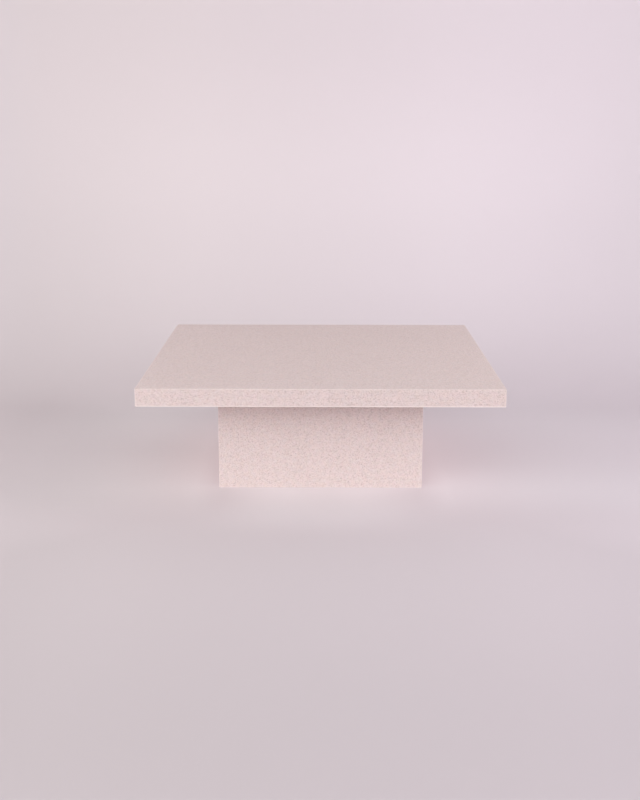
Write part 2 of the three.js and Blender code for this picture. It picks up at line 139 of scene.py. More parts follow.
class Graph:
    """Short calls that build the node tree of one material."""

    def __init__(self, name: str) -> None:
        """Starts a material with a bare Principled shader.

        Args:
            name: Name of the new material.
        """
        self.material = bpy.data.materials.new(name)
        self.material.use_nodes = True
        self.tree = self.material.node_tree
        self.shader = self.tree.nodes["Principled BSDF"]
        self.coords = self.node("ShaderNodeTexCoord").outputs["Object"]

    def node(self, kind: str, **settings: Any) -> bpy.types.Node:
        """Adds a node.

        Args:
            kind: Blender's name for the node type.
            **settings: Properties to set on it.

        Returns:
            The new node.
        """
        made = self.tree.nodes.new(kind)
        for key, value in settings.items():
            setattr(made, key, value)
        return made

    def feed(self, socket: Socket, value: Feed) -> None:
        """Links a socket to another one, or sets it to a plain value.

        Args:
            socket: Input socket to feed.
            value: Output socket, number, colour or vector.
        """
        if isinstance(value, Socket):
            self.tree.links.new(value, socket)
        elif isinstance(value, tuple) and socket.type == "RGBA":
            socket.default_value = (*value, 1.0)
        else:
            socket.default_value = value

    def set(self, **values: Any) -> None:
        """Feeds the shader's sockets, named with underscores for spaces.

        Args:
            **values: Socket names and what to feed them.
        """
        for key, value in values.items():
            self.feed(self.shader.inputs[key.replace("_", " ")], value)

    def math(self, operation: str, first: Feed, second: Feed = 0.0) -> Socket:
        """Adds one step of arithmetic.

        Args:
            operation: Blender's name for the operation.
            first: First operand.
            second: Second operand, where there is one.

        Returns:
            The result's socket.
        """
        made = self.node("ShaderNodeMath", operation=operation)
        self.feed(made.inputs[0], first)
        self.feed(made.inputs[1], second)
        return made.outputs[0]

    def product(self, *factors: Feed) -> Socket:
        """Multiplies numbers together.

        Args:
            *factors: Two or more numbers.

        Returns:
            The product's socket.
        """
        total, *rest = factors
        for factor in rest:
            total = self.math("MULTIPLY", total, factor)
        return total

    def mix(self, factor: Feed, first: Feed, second: Feed, mode: str = "MIX") -> Socket:
        """Mixes two colours.

        Args:
            factor: Share of the second colour.
            first: First colour.
            second: Second colour.
            mode: Blender's blend type.

        Returns:
            The mixed colour's socket.
        """
        made = self.node("ShaderNodeMix", data_type="RGBA", blend_type=mode)
        self.feed(made.inputs["Factor"], factor)
        self.feed(made.inputs[MIX_FIRST], first)
        self.feed(made.inputs[MIX_SECOND], second)
        return made.outputs[MIX_RESULT]

    def wash(self, colour: Feed, share: Feed, tone: Colour) -> Socket:
        """Multiplies a colour by a tone, in part.

        Args:
            colour: Colour to wash.
            share: Share of the tone.
            tone: Colour to multiply by.

        Returns:
            The washed colour's socket.
        """
        return self.mix(1.0, colour, self.mix(share, UNTINTED, tone), "MULTIPLY")

    def layer(self, factor: Feed, first: Feed, second: Feed) -> Socket:
        """Mixes two shaders.

        Args:
            factor: Share of the second shader.
            first: First shader.
            second: Second shader.

        Returns:
            The mixed shader's socket.
        """
        made = self.node("ShaderNodeMixShader")
        for socket, value in zip(made.inputs, (factor, first, second)):
            self.feed(socket, value)
        return made.outputs[0]

    def noise(
        self,
        scale: float,
        detail: float = 2.0,
        roughness: float = 0.5,
        where: Socket | None = None,
    ) -> Socket:
        """Adds a cloudy noise.

        Args:
            scale: Features per metre.
            detail: Number of finer octaves.
            roughness: Weight of the finer octaves.
            where: Coordinates to use, if not the object's own.

        Returns:
            The noise's value socket.
        """
        made = self.node("ShaderNodeTexNoise")
        self.feed(made.inputs["Vector"], self.coords if where is None else where)
        self.feed(made.inputs["Scale"], scale)
        self.feed(made.inputs["Detail"], detail)
        self.feed(made.inputs["Roughness"], roughness)
        return made.outputs["Fac"]

    def cells(self, scale: float, where: Socket | None = None) -> tuple[Socket, Socket]:
        """Adds a cell pattern.

        Args:
            scale: Cells per metre.
            where: Coordinates to use, if not the object's own.

        Returns:
            Sockets of each cell's three random numbers, as a colour, and of the distance to its centre.
        """
        made = self.node("ShaderNodeTexVoronoi")
        self.feed(made.inputs["Vector"], self.coords if where is None else where)
        self.feed(made.inputs["Scale"], scale)
        return made.outputs["Color"], made.outputs["Distance"]

    def channels(self, colour: Feed) -> Sockets:
        """Splits a colour or vector.

        Args:
            colour: Socket to split.

        Returns:
            Sockets of its three parts.
        """
        made = self.node("ShaderNodeSeparateXYZ")
        self.feed(made.inputs[0], colour)
        return made.outputs[0], made.outputs[1], made.outputs[2]

    def vector(self, x: Feed, y: Feed, z: Feed) -> Socket:
        """Joins three numbers into a vector.

        Args:
            x: First part.
            y: Second part.
            z: Third part.

        Returns:
            The vector's socket.
        """
        made = self.node("ShaderNodeCombineXYZ")
        for socket, value in zip(made.inputs, (x, y, z)):
            self.feed(socket, value)
        return made.outputs[0]

    def ramp(self, factor: Feed, stops: Sequence[tuple[float, Colour]], stepped: bool = False) -> Socket:
        """Turns a number into a colour.

        Args:
            factor: Number from 0 to 1.
            stops: Places along the ramp and their colours.
            stepped: Whether the colours change in steps.

        Returns:
            The colour's socket.
        """
        made = self.node("ShaderNodeValToRGB")
        made.color_ramp.interpolation = "CONSTANT" if stepped else "LINEAR"
        elements = made.color_ramp.elements
        while len(elements) < len(stops):
            elements.new(1.0)
        for element, (place, colour) in zip(elements, stops):
            element.position = place
            element.color = (*colour, 1.0)
        self.feed(made.inputs[0], factor)
        return made.outputs[0]

    def remap(self, value: Feed, source: Span, target: Span) -> Socket:
        """Maps one range of numbers to another, clamped.

        Args:
            value: Number to map.
            source: Range that it comes from.
            target: Range that it goes to.

        Returns:
            The mapped number's socket.
        """
        made = self.node("ShaderNodeMapRange", interpolation_type="SMOOTHSTEP")
        for socket, number in zip(made.inputs, (value, *source, *target)):
            self.feed(socket, number)
        return made.outputs[0]

    def window(self, value: Feed, rise: Span, fall: Span) -> Socket:
        """Makes a share that is one between two soft limits, and nought outside them.

        Args:
            value: Number to look at.
            rise: Range over which the share comes up.
            fall: Range over which it goes down.

        Returns:
            The share's socket.
        """
        return self.product(self.remap(value, rise, RISING), self.remap(value, fall, FALLING))

    def bump(self, height: Feed, distance: float) -> Socket:
        """Adds surface relief.

        Args:
            height: Height from 0 to 1.
            distance: Depth of the relief in metres.

        Returns:
            The normal's socket.
        """
        made = self.node("ShaderNodeBump")
        self.feed(made.inputs["Height"], height)
        self.feed(made.inputs["Distance"], distance)
        return made.outputs["Normal"]


@dataclass(frozen=True)
class EasedBox:
    """The outer form that a run of mitred sheets makes."""

    low: Vector
    high: Vector

    @classmethod
    def around(cls, nodes: Iterable[str]) -> "EasedBox":
        """Finds the box that some nodes fill.

        Args:
            nodes: Names of the nodes.

        Returns:
            The box round them all.
        """
        boxes = [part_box(name) for name in nodes]
        low = Vector(min(box[0][axis] for box in boxes) for axis in range(3))
        high = Vector(max(box[1][axis] for box in boxes) for axis in range(3))
        return cls(low, high)


@dataclass(frozen=True)
class SpeckledSheet:
    """Matte cast sheet in pale pink, full of fine cream, mauve and brown grit."""

    slot: str = "speckled_sheet"
    mauve: Colour = (0.496, 0.386, 0.370)
    brown: Colour = (0.600, 0.466, 0.434)
    shade: Colour = (0.732, 0.602, 0.582)
    ground: Colour = (0.796, 0.662, 0.642)
    light: Colour = (0.836, 0.709, 0.686)
    cream: Colour = (0.876, 0.766, 0.738)
    sanded: Colour = (0.930, 0.820, 0.795)
    # Multiplier over the whole sheet; the slab's and the plinth's copies differ in it by painted shade and
    # painted light.
    tone: Colour = UNTINTED
    # Grains, where each of their colours starts in the draw, and how far their outlines are stirred.
    grain_draw: tuple[float, ...] = (0.00, 0.06, 0.16, 0.40, 0.70, 0.91)
    grit_per_metre: float = 600.0
    fines_per_metre: float = 1400.0
    fines_share: float = 0.30
    stir_per_metre: float = 700.0
    stir_reach: float = 1.6 * MM
    # Larger chips, sized as shares of their cells.
    chip_draw: tuple[float, ...] = (0.00, 0.40, 0.75)
    chips_per_metre: float = 150.0
    chip_sizes: Span = (0.10, 0.24)
    chips_chosen: float = 0.45
    chip_share: float = 0.75
    # Drift of the batch's tone from place to place.
    clouds_per_metre: float = 9.0
    warm_per_metre: float = 75.0
    cool_per_metre: float = 95.0
    mottle: float = 0.005
    blush: float = 0.016
    # Painted highlight along the arrises, in a paler colour, with shares of its own at the foot and at the
    # top for how light falls there.
    arris_reach: Span = (1.6 * MM, 3.2 * MM)
    arris_zone: Span = (3.0 * MM, 5.0 * MM)
    arris_share: float = 0.15
    foot_arris_share: float = 0.15
    top_arris_share: float = 0.15
    # Surface.
    polish_per_metre: float = 260.0
    roughness: Span = (0.58, 0.72)
    pores_per_metre: float = 700.0
    grit_relief: float = 0.4
    relief: float = 0.06 * MM
    refraction: float = 1.49
    specular_level: float = 0.35

    def material(self, box: EasedBox) -> bpy.types.Material:
        """Builds the finish for the sheets round one box.

        Args:
            box: Outer form whose arrises get a painted highlight.

        Returns:
            The material.
        """
        graph = Graph(self.slot)
        where = self._stirred(graph)
        grit, _ = graph.cells(self.grit_per_metre, where)
        fines, _ = graph.cells(self.fines_per_metre, where)
        colour = graph.mix(self.fines_share, self._grains(graph, grit), self._grains(graph, fines))
        colour = self._chips(graph, colour, where)
        colour = graph.mix(1.0, colour, self._batch(graph), "MULTIPLY")
        # Painted highlight: paler colour along the arrises.
        colour = graph.mix(self._sanding(graph, box), colour, self.sanded)
        polish = graph.noise(self.polish_per_metre, detail=3.0)
        grit_height, _, _ = graph.channels(grit)
        raised = graph.math("MULTIPLY", grit_height, self.grit_relief)
        relief = graph.math("ADD", raised, graph.noise(self.pores_per_metre))
        graph.set(Base_Color=colour, Roughness=graph.remap(polish, NOISE_SPREAD, self.roughness))
        graph.set(Normal=graph.bump(relief, self.relief))
        graph.set(IOR=self.refraction, Specular_IOR_Level=self.specular_level)
        return graph.material

    def _stirred(self, graph: Graph) -> Socket:
        """Moves the coordinates a little, so that grains aren't straight-sided.

        Args:
            graph: Material under way.

        Returns:
            The coordinates' socket.
        """
        swirl = graph.node("ShaderNodeTexNoise")
        graph.feed(swirl.inputs["Vector"], graph.coords)
        graph.feed(swirl.inputs["Scale"], self.stir_per_metre)
        nudge = graph.node("ShaderNodeVectorMath", operation="MULTIPLY_ADD")
        graph.feed(nudge.inputs[0], swirl.outputs["Color"])
        graph.feed(nudge.inputs[1], (self.stir_reach, self.stir_reach, self.stir_reach))
        graph.feed(nudge.inputs[2], graph.coords)
        return nudge.outputs[0]

    def _batch(self, graph: Graph) -> Socket:
        """Varies the batch's tone a little from place to place, in brightness and in warmth, times the
        sheet's tone, which holds the painted shade of the slab and the painted light of the plinth.

        Args:
            graph: Material under way.

        Returns:
            Socket of a colour to multiply by.
        """
        brightness = (1 - self.mottle, 1 + self.mottle)
        warmth = (1 - self.blush, 1 + self.blush)
        level = graph.remap(graph.noise(self.clouds_per_metre, detail=3.0), NOISE_SPREAD, brightness)
        warm = graph.remap(graph.noise(self.warm_per_metre), NOISE_SPREAD, warmth)
        cool = graph.remap(graph.noise(self.cool_per_metre), NOISE_SPREAD, warmth)
        red, green, blue = self.tone
        return graph.vector(
            graph.product(level, red, warm),
            graph.product(level, green),
            graph.product(level, blue, cool),
        )

    def _grains(self, graph: Graph, cells: Socket) -> Socket:
        """Gives each grain one of the grit's colours.

        Args:
            graph: Material under way.
            cells: Random numbers of the grains.

        Returns:
            The colour's socket.
        """
        draw, _, _ = graph.channels(cells)
        colours = (self.mauve, self.brown, self.shade, self.ground, self.light, self.cream)
        return graph.ramp(draw, tuple(zip(self.grain_draw, colours)), stepped=True)

    def _chips(self, graph: Graph, colour: Feed, where: Socket) -> Socket:
        """Adds sparse larger chips.

        Args:
            graph: Material under way.
            colour: Colour so far.
            where: Coordinates to use.

        Returns:
            The colour's socket.
        """
        cells, distance = graph.cells(self.chips_per_metre, where)
        draw, tint, size = graph.channels(cells)
        inside = graph.math("LESS_THAN", distance, graph.remap(size, RISING, self.chip_sizes))
        chosen = graph.math("LESS_THAN", draw, self.chips_chosen)
        colours = (self.mauve, self.brown, self.cream)
        chip = graph.ramp(tint, tuple(zip(self.chip_draw, colours)), stepped=True)
        return graph.mix(graph.product(inside, chosen, self.chip_share), colour, chip)

    def _sanding(self, graph: Graph, box: EasedBox) -> Socket:
        """Finds how much of the painted arris highlight shows, with shares of its own at the foot and at the
        top.

        Args:
            graph: Material under way.
            box: Outer form.

        Returns:
            Socket of the share.
        """
        height = graph.channels(graph.coords)[Axis.Z.value]
        inner, outer = self.arris_zone
        foot = graph.remap(height, (box.low.z + inner, box.low.z + outer), FALLING)
        crown = graph.remap(height, (box.high.z - outer, box.high.z - inner), RISING)
        share = self.arris_share
        for place, extreme in ((foot, self.foot_arris_share), (crown, self.top_arris_share)):
            change = graph.math("MULTIPLY", place, extreme - self.arris_share)
            share = graph.math("ADD", change, share)
        return graph.math("MULTIPLY", self._nearness(graph, box), share)

    def _nearness(self, graph: Graph, box: EasedBox) -> Socket:
        """Finds how near a point is to one of the box's arrises.

        On the box's skin the smallest of the three distances to its faces is nought, so the sum of the two
        smallest is the distance to the nearest arris.

        Args:
            graph: Material under way.
            box: Outer form.

        Returns:
            Socket of a number that is one at an arris and nought away from it.
        """
        middle = (box.low + box.high) / 2
        half = (box.high - box.low) / 2
        gaps = []
        for part, centre, reach in zip(graph.channels(graph.coords), middle, half):
            offset = graph.math("ABSOLUTE", graph.math("SUBTRACT", part, centre))
            gaps.append(graph.math("SUBTRACT", reach, offset))
        total = graph.math("ADD", graph.math("ADD", gaps[0], gaps[1]), gaps[2])
        largest = graph.math("MAXIMUM", graph.math("MAXIMUM", gaps[0], gaps[1]), gaps[2])
        return graph.remap(graph.math("SUBTRACT", total, largest), self.arris_reach, FALLING)


@dataclass(frozen=True)
class PaintedBoard:
    """Board painted to match the sheet, with the stipple that a roller leaves."""

    slot: str = "balancer"
    paint: Colour = (0.640, 0.520, 0.500)
    thin_paint: Colour = (0.560, 0.440, 0.410)
    patches_per_metre: float = 14.0
    patch_range: Span = (0.35, 0.75)
    patch_share: float = 0.6
    stipple_per_metre: float = 420.0
    stipple_range: Span = (0.2, 0.8)
    roughness: Span = (0.55, 0.75)
    relief: float = 0.15 * MM

    def material(self) -> bpy.types.Material:
        """Builds the finish.

        Returns:
            Its material.
        """
        graph = Graph(self.slot)
        patches = graph.noise(self.patches_per_metre, detail=4.0)
        thinner = graph.remap(patches, self.patch_range, (0.0, self.patch_share))
        stipple = graph.noise(self.stipple_per_metre)
        graph.set(Base_Color=graph.mix(thinner, self.paint, self.thin_paint))
        graph.set(Roughness=graph.remap(stipple, self.stipple_range, self.roughness))
        graph.set(Normal=graph.bump(stipple, self.relief))
        return graph.material


@dataclass(frozen=True)
class BirchPly:
    """Sanded birch plywood: grain on its faces, and stacked veneers on its edges."""

    thin: Axis
    grain: Axis
    slot: str = "plywood"
    pale: Colour = (0.640, 0.455, 0.265)
    streak: Colour = (0.520, 0.335, 0.170)
    end_grain: Colour = (0.370, 0.220, 0.105)
    glue: Colour = (0.130, 0.070, 0.035)
    veneer: float = 1.45 * MM
    glue_line: float = 0.07
    edge_streaks: float = 0.5
    stretch: float = 0.05
    bands_per_metre: float = 45.0
    band_share: float = 0.7
    fibres_per_metre: float = 620.0
    fibre_share: float = 0.3
    figure_range: Span = (0.30, 0.62)
    face_limit: float = 0.7
    roughness: Span = (0.72, 0.55)
    relief: float = 0.12 * MM

    def material(self) -> bpy.types.Material:
        """Builds the finish.

        Returns:
            Its material.
        """
        graph = Graph(f"{self.slot}_{self.thin.name}{self.grain.name}".lower())
        figure = self._figure(graph)
        face = graph.ramp(figure, tuple(zip(self.figure_range, (self.streak, self.pale))))
        edge, lines = self._edge(graph, figure)
        normal = graph.channels(graph.node("ShaderNodeNewGeometry").outputs["Normal"])
        turned = graph.math("ABSOLUTE", normal[self.thin.value])
        on_face = graph.math("GREATER_THAN", turned, self.face_limit)
        graph.set(Base_Color=graph.mix(on_face, edge, face))
        graph.set(Roughness=graph.remap(figure, NOISE_SPREAD, self.roughness))
        graph.set(Normal=graph.bump(graph.math("ADD", figure, lines), self.relief))
        return graph.material

    def _figure(self, graph: Graph) -> Socket:
        """Draws the wood's figure, stretched along the grain.

        Args:
            graph: Material under way.

        Returns:
            The figure's socket.
        """
        parts = list(graph.channels(graph.coords))
        parts[self.grain.value] = graph.math("MULTIPLY", parts[self.grain.value], self.stretch)
        where = graph.vector(*parts)
        bands = graph.noise(self.bands_per_metre, detail=4.0, roughness=0.55, where=where)
        fibres = graph.noise(self.fibres_per_metre, where=where)
        bands = graph.math("MULTIPLY", bands, self.band_share)
        fibres = graph.math("MULTIPLY", fibres, self.fibre_share)
        return graph.math("ADD", bands, fibres)

    def _edge(self, graph: Graph, figure: Socket) -> tuple[Socket, Socket]:
        """Draws the veneers on a cut edge.

        Args:
            graph: Material under way.
            figure: The wood's figure.

        Returns:
            Sockets of the colour and of the height of the glue lines.
        """
        depth = graph.channels(graph.coords)[self.thin.value]
        place = graph.math("DIVIDE", depth, self.veneer)
        turn = graph.math("FRACT", graph.math("MULTIPLY", place, 0.5))
        crosswise = graph.math("GREATER_THAN", turn, 0.5)
        tint = graph.mix(crosswise, self.pale, self.end_grain)
        tint = graph.mix(graph.math("MULTIPLY", figure, self.edge_streaks), tint, self.streak)
        line = graph.math("PINGPONG", place, 0.5)
        lines = graph.remap(line, (0.0, self.glue_line), RISING)
        return graph.mix(lines, self.glue, tint), lines


@dataclass(frozen=True)
class ZincPlate:
    """Bright zinc plate on steel, with a faint spangle and handling marks."""

    slot: str = "zinc_steel"
    bright: Colour = (0.620, 0.630, 0.645)
    dull: Colour = (0.430, 0.425, 0.410)
    spangle_per_metre: float = 900.0
    spangle_range: Span = (0.25, 0.75)
    marks_per_metre: float = 160.0
    marks_range: Span = (0.45, 0.7)
    roughness: Span = (0.26, 0.46)
    relief: float = 0.02 * MM

    def material(self) -> bpy.types.Material:
        """Builds the finish.

        Returns:
            Its material.
        """
        graph = Graph(self.slot)
        spangle = graph.noise(self.spangle_per_metre, detail=3.0, roughness=0.6)
        marks = graph.noise(self.marks_per_metre, detail=5.0, roughness=0.7)
        marked = graph.remap(marks, self.marks_range, RISING)
        graph.set(Base_Color=graph.mix(marked, self.bright, self.dull), Metallic=1.0)
        graph.set(Roughness=graph.remap(spangle, self.spangle_range, self.roughness))
        graph.set(Normal=graph.bump(spangle, self.relief))
        return graph.material


@dataclass(frozen=True)
class MouldedNylon:
    """Black moulded nylon with a fine spark-eroded texture and scuffs."""

    slot: str = "nylon"
    black: Colour = (0.024, 0.024, 0.027)
    scuffed: Colour = (0.075, 0.073, 0.072)
    texture_per_metre: float = 2400.0
    texture_range: Span = (0.2, 0.8)
    scuffs_per_metre: float = 210.0
    scuffs_range: Span = (0.5, 0.72)
    roughness: Span = (0.42, 0.62)
    relief: float = 0.03 * MM

    def material(self) -> bpy.types.Material:
        """Builds the finish.

        Returns:
            Its material.
        """
        graph = Graph(self.slot)
        texture = graph.noise(self.texture_per_metre)
        scuffs = graph.noise(self.scuffs_per_metre, detail=5.0, roughness=0.7)
        worn = graph.remap(scuffs, self.scuffs_range, RISING)
        graph.set(Base_Color=graph.mix(worn, self.black, self.scuffed))
        graph.set(Roughness=graph.remap(texture, self.texture_range, self.roughness))
        graph.set(Normal=graph.bump(texture, self.relief))
        return graph.material


@cache
def shared(finish: PaintedBoard | BirchPly | ZincPlate | MouldedNylon) -> bpy.types.Material:
    """Builds a finish the first time that it is asked for, and gives the same material after that.

    Args:
        finish: Finish to build.

    Returns:
        The material.
    """
    return finish.material()


def show(piece: bpy.types.Object, material: bpy.types.Material) -> None:
    """Gives a piece one material all over.

    Args:
        piece: Piece to dress.
        material: Its finish.
    """
    piece.data.materials.clear()
    piece.data.materials.append(material)


def dress(names: Iterable[str], material: bpy.types.Material) -> None:
    """Gives solids of the frame a finish, and logs each of them.

    Args:
        names: Names of the nodes.
        material: Their finish.
    """
    for name in names:
        show(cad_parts[name], material)
        log.info("%s dressed in %s", name, material.name)


def new_piece(
    name: str,
    skins: Sequence[Sequence[Ring]],
    material: bpy.types.Material,
    looped: bool = False,
) -> bpy.types.Object:
    """Makes a piece from closed skins over runs of rings.

    Args:
        name: Name of the piece.
        skins: Skins, each a list of rings of as many points.
        material: Finish of the piece.
        looped: Whether each skin runs on from its last ring to its first, instead of being capped.

    Returns:
        The new object.
    """
    mesh = bpy.data.meshes.new(name)
    shape = bmesh.new()
    for skin in skins:
        loops = [[shape.verts.new(point) for point in ring] for ring in skin]
        following = loops[1:] + loops[:1] if looped else loops[1:]
        for lower, upper in zip(loops, following):
            for i, corner in enumerate(lower):
                j = (i + 1) % len(lower)
                shape.faces.new((corner, lower[j], upper[j], upper[i]))
        if not looped:
            shape.faces.new(list(reversed(loops[0])))
            shape.faces.new(loops[-1])
    bmesh.ops.recalc_face_normals(shape, faces=shape.faces)
    shape.to_mesh(mesh)
    shape.free()
    mesh.shade_smooth()
    mesh.set_sharp_from_angle(angle=SHARP_FOLD)
    piece = bpy.data.objects.new(name, mesh)
    bpy.context.scene.collection.objects.link(piece)
    show(piece, material)
    return piece


@dataclass
class Turning:
    """Run of rings about an upright axis, for turned, hexagonal and screwed forms."""

    axis: Vector
    sides: int = 48
    cone_start: float = 0.47
    cone_steps: int = 5
    thread_steps: int = 8
    crest_width: float = 0.15
    flank_slope: float = 2.6
    rings: list[Ring] = field(default_factory=list)

    @classmethod
    def within(cls, node: str) -> "Turning":
        """Starts on the upright axis through the middle of a node.

        Args:
            node: Name of the node.

        Returns:
            The turning, with no rings yet.
        """
        low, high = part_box(node)
        return cls(Vector(((low[0] + high[0]) / 2, (low[1] + high[1]) / 2, 0.0)))

    def add(self, level: float, radius: Callable[[float], float]) -> None:
        """Adds a ring.

        Args:
            level: Its height.
            radius: Its radius at each angle.
        """
        ring = []
        for i in range(self.sides):
            angle = 2 * math.pi * i / self.sides
            reach = radius(angle)
            ring.append(Vector((
                self.axis.x + reach * math.cos(angle),
                self.axis.y + reach * math.sin(angle),
                level,
            )))
        self.rings.append(ring)

    def round(self, *profile: tuple[float, float]) -> None:
        """Adds plain round rings.

        Args:
            *profile: Radius and height of each ring.
        """
        for radius, level in profile:
            self.add(level, lambda _, radius=radius: radius)

    def arc(self, centre: Span, radius: float, start: float, end: float, steps: int = 6) -> None:
        """Adds round rings whose profile is an arc.

        Args:
            centre: Radius and height of the arc's centre.
            radius: Radius of the arc.
            start: Angle that it starts at, in degrees up from outwards.
            end: Angle that it ends at.
            steps: Number of parts that it is drawn in.
        """
        for step in range(steps + 1):
            angle = math.radians(start + (end - start) * step / steps)
            self.round((centre[0] + radius * math.cos(angle), centre[1] + radius * math.sin(angle)))

    def hexagon(self, flats: float, bottom: float, top: float, cone: float, both: bool) -> None:
        """Adds a hexagon whose corners are cut back by a cone, as on a nut.

        Args:
            flats: Distance across the flats.
            bottom: Level that it starts at.
            top: Level that it ends at.
            cone: Height of the cut at a corner.
            both: Whether the top is cut as well as the bottom.
        """
        inner = self.cone_start * flats
        corner = flats / math.sqrt(3)
        sector = math.pi / 3

        def reach(angle: float) -> float:
            """Radius of the uncut hexagon at an angle."""
            return flats / 2 / math.cos((angle + sector / 2) % sector - sector / 2)

        cuts = [cone * step / self.cone_steps for step in range(self.cone_steps + 1)]
        levels = [(bottom + cut, cut) for cut in cuts]
        levels += [(top - cut, cut) for cut in reversed(cuts)] if both else [(top, cone)]
        for level, cut in levels:
            limit = inner + (corner - inner) * cut / cone
            self.add(level, lambda angle, limit=limit: min(reach(angle), limit))

    def thread(self, radius: float, depth: float, pitch: float, bottom: float, top: float) -> None:
        """Adds a right-handed screw thread that runs out at both ends.

        Args:
            radius: Radius over the crests.
            depth: Depth of the thread.
            pitch: Rise in one turn.
            bottom: Level that it starts at.
            top: Level that it ends at.
        """
        steps = round((top - bottom) / pitch * self.thread_steps)
        for step in range(steps + 1):
            level = bottom + (top - bottom) * step / steps
            share = min(1.0, (level - bottom) / pitch, (top - level) / pitch)

            def reach(angle: float, level: float = level, share: float = share) -> float:
                """Finds the radius of the thread.

                Args:
                    angle: Angle round the axis.
                    level: Level of the ring.
                    share: Share of the full depth.

                Returns:
                    The radius.
                """
                place = (level / pitch - angle / (2 * math.pi)) % 1.0
                groove = min(1.0, max(0.0, self.flank_slope * abs(place - 0.5) - self.crest_width))
                return radius - depth * (1.0 - (1.0 - groove) * share)

            self.add(level, reach)


@dataclass
class SeamFiller:
    """Colour-matched filler that closes the mitres between the sheets of one box."""

    box: EasedBox
    sheet: float = 12.0 * MM
    gap: float = 0.3 * MM
    easing: float = 1.0 * MM
    corner_easing: float = 1.5 * MM
    shy: float = 0.03 * MM

    def build(self, name: str, material: bpy.types.Material, top: bool) -> bpy.types.Object:
        """Makes the filler as one piece that rides on the table.

        Args:
            name: Name of the piece.
            material: Finish, the same as the sheets'.
            top: Whether the top arrises are mitred as well as the upright ones.

        Returns:
            The new object.
        """
        skins = [self._upright(corner, top) for corner in Corner]
        if top:
            skins += [self._along(turns) for turns in range(len(Side))]
        piece = new_piece(name, skins, material)
        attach(piece, TABLE_BODY)
        log.info("%s built", name)
        return piece

    def _section(self, easing: float) -> list[Span]:
        """Draws the section of a strip, which stops just shy of the eased arris.

        Args:
            easing: Radius of the arris.

        Returns:
            Corners of the section: how far in from both faces, and how far to one side of the mitre.
        """
        half = (self.gap - self.shy) / 2 * math.sqrt(0.5)
        outer = easing * (1 - math.sqrt(0.5)) + self.shy
        return [(outer, half), (self.sheet, half), (self.sheet, -half), (outer, -half)]

    def _upright(self, corner: Corner, top: bool) -> list[Ring]:
        """Makes the strip in one upright corner.

        Args:
            corner: Which corner.
            top: Whether the strip stops under a mitred top.

        Returns:
            The strip's rings.
        """
        sign_x, sign_y = corner.value
        rings = []
        for level in (self.box.low.z + self.easing, self.box.high.z - (self.sheet if top else self.easing)):
            ring = []
            for inset, shift in self._section(self.corner_easing):
                x = sign_x * (self.box.high.x - inset + shift)
                y = sign_y * (self.box.high.y - inset - shift)
                ring.append(Vector((x, y, level)))
            rings.append(ring)
        return rings

    def _along(self, turns: int) -> list[Ring]:
        """Makes the strip under one top arris.

        Args:
            turns: Quarter turns that bring it round from the front.

        Returns:
            The strip's rings.
        """
        lift = self.gap / 2 * math.sqrt(2)
        turn = Matrix.Rotation(turns * math.pi / 2, 3, "Z")
        rings = []
        for sign in (-1, 1):
            ring = []
            for inset, shift in self._section(self.easing):
                reach = sign * (self.box.high.x - inset)
                y = -(self.box.high.y - inset) - shift
                z = self.box.high.z - inset - lift + shift
                ring.append(turn @ Vector((reach, y, z)))
            rings.append(ring)
        return rings


@dataclass
class Slab:
    """Top of the table: mitred sheets, a soffit, and the core that they hide."""

    sheets: tuple[str, ...] = ("top_panel", *Side.names("top_edge"))
    soffit: str = "soffit_panel"
    core: tuple[str, ...] = ("core_edge_rail", "core_cross_rail")
    # The slab's copy of the sheet is toned darker: painted shade. Its foot arris gets the full painted
    # highlight, and its top arris more than its upright ones.
    finish: SpeckledSheet = SpeckledSheet(
        tone=(0.957, 0.957, 0.960),
        foot_arris_share=1.0,
        top_arris_share=0.35,
    )

    def build(self) -> None:
        """Dresses the slab and closes its mitres."""
        box = EasedBox.around(self.sheets)
        sheet = self.finish.material(box)
        dress(self.sheets, sheet)
        SeamFiller(box).build("slab_seam_filler", sheet, top=True)
        dress([self.soffit], shared(PaintedBoard()))
        for side in Side:
            dress([f"{rail}_{side.value}" for rail in self.core], shared(BirchPly(Axis.Z, side.along)))
        dress(Corner.names("fixing_block"), shared(BirchPly(Axis.Z, Axis.X)))
        dress(Corner.names("threaded_insert"), shared(ZincPlate()))


@dataclass
class Plinth:
    """Base of the table: mitred sheets round a plywood carcass that is open below."""

    sheets: tuple[str, ...] = Side.names("plinth_panel")
    carcass: tuple[str, ...] = ("carcass", "bottom_rail")
    # The plinth's copy of the sheet is toned a little lighter and less pink: painted light.
    finish: SpeckledSheet = SpeckledSheet(tone=(1.010, 1.034, 1.038), fines_share=0.40)

    def build(self) -> None:
        """Dresses the plinth and closes its mitres."""
        box = EasedBox.around(self.sheets)
        sheet = self.finish.material(box)
        dress(self.sheets, sheet)
        SeamFiller(box).build("plinth_seam_filler", sheet, top=False)
        for side in Side:
            ply = shared(BirchPly(side.across, side.along))
            dress([f"{board}_{side.value}" for board in self.carcass], ply)
        dress(["plinth_top_plate"], shared(BirchPly(Axis.Z, Axis.X)))
        dress(Corner.names("corner_block"), shared(BirchPly(Axis.X, Axis.Z)))


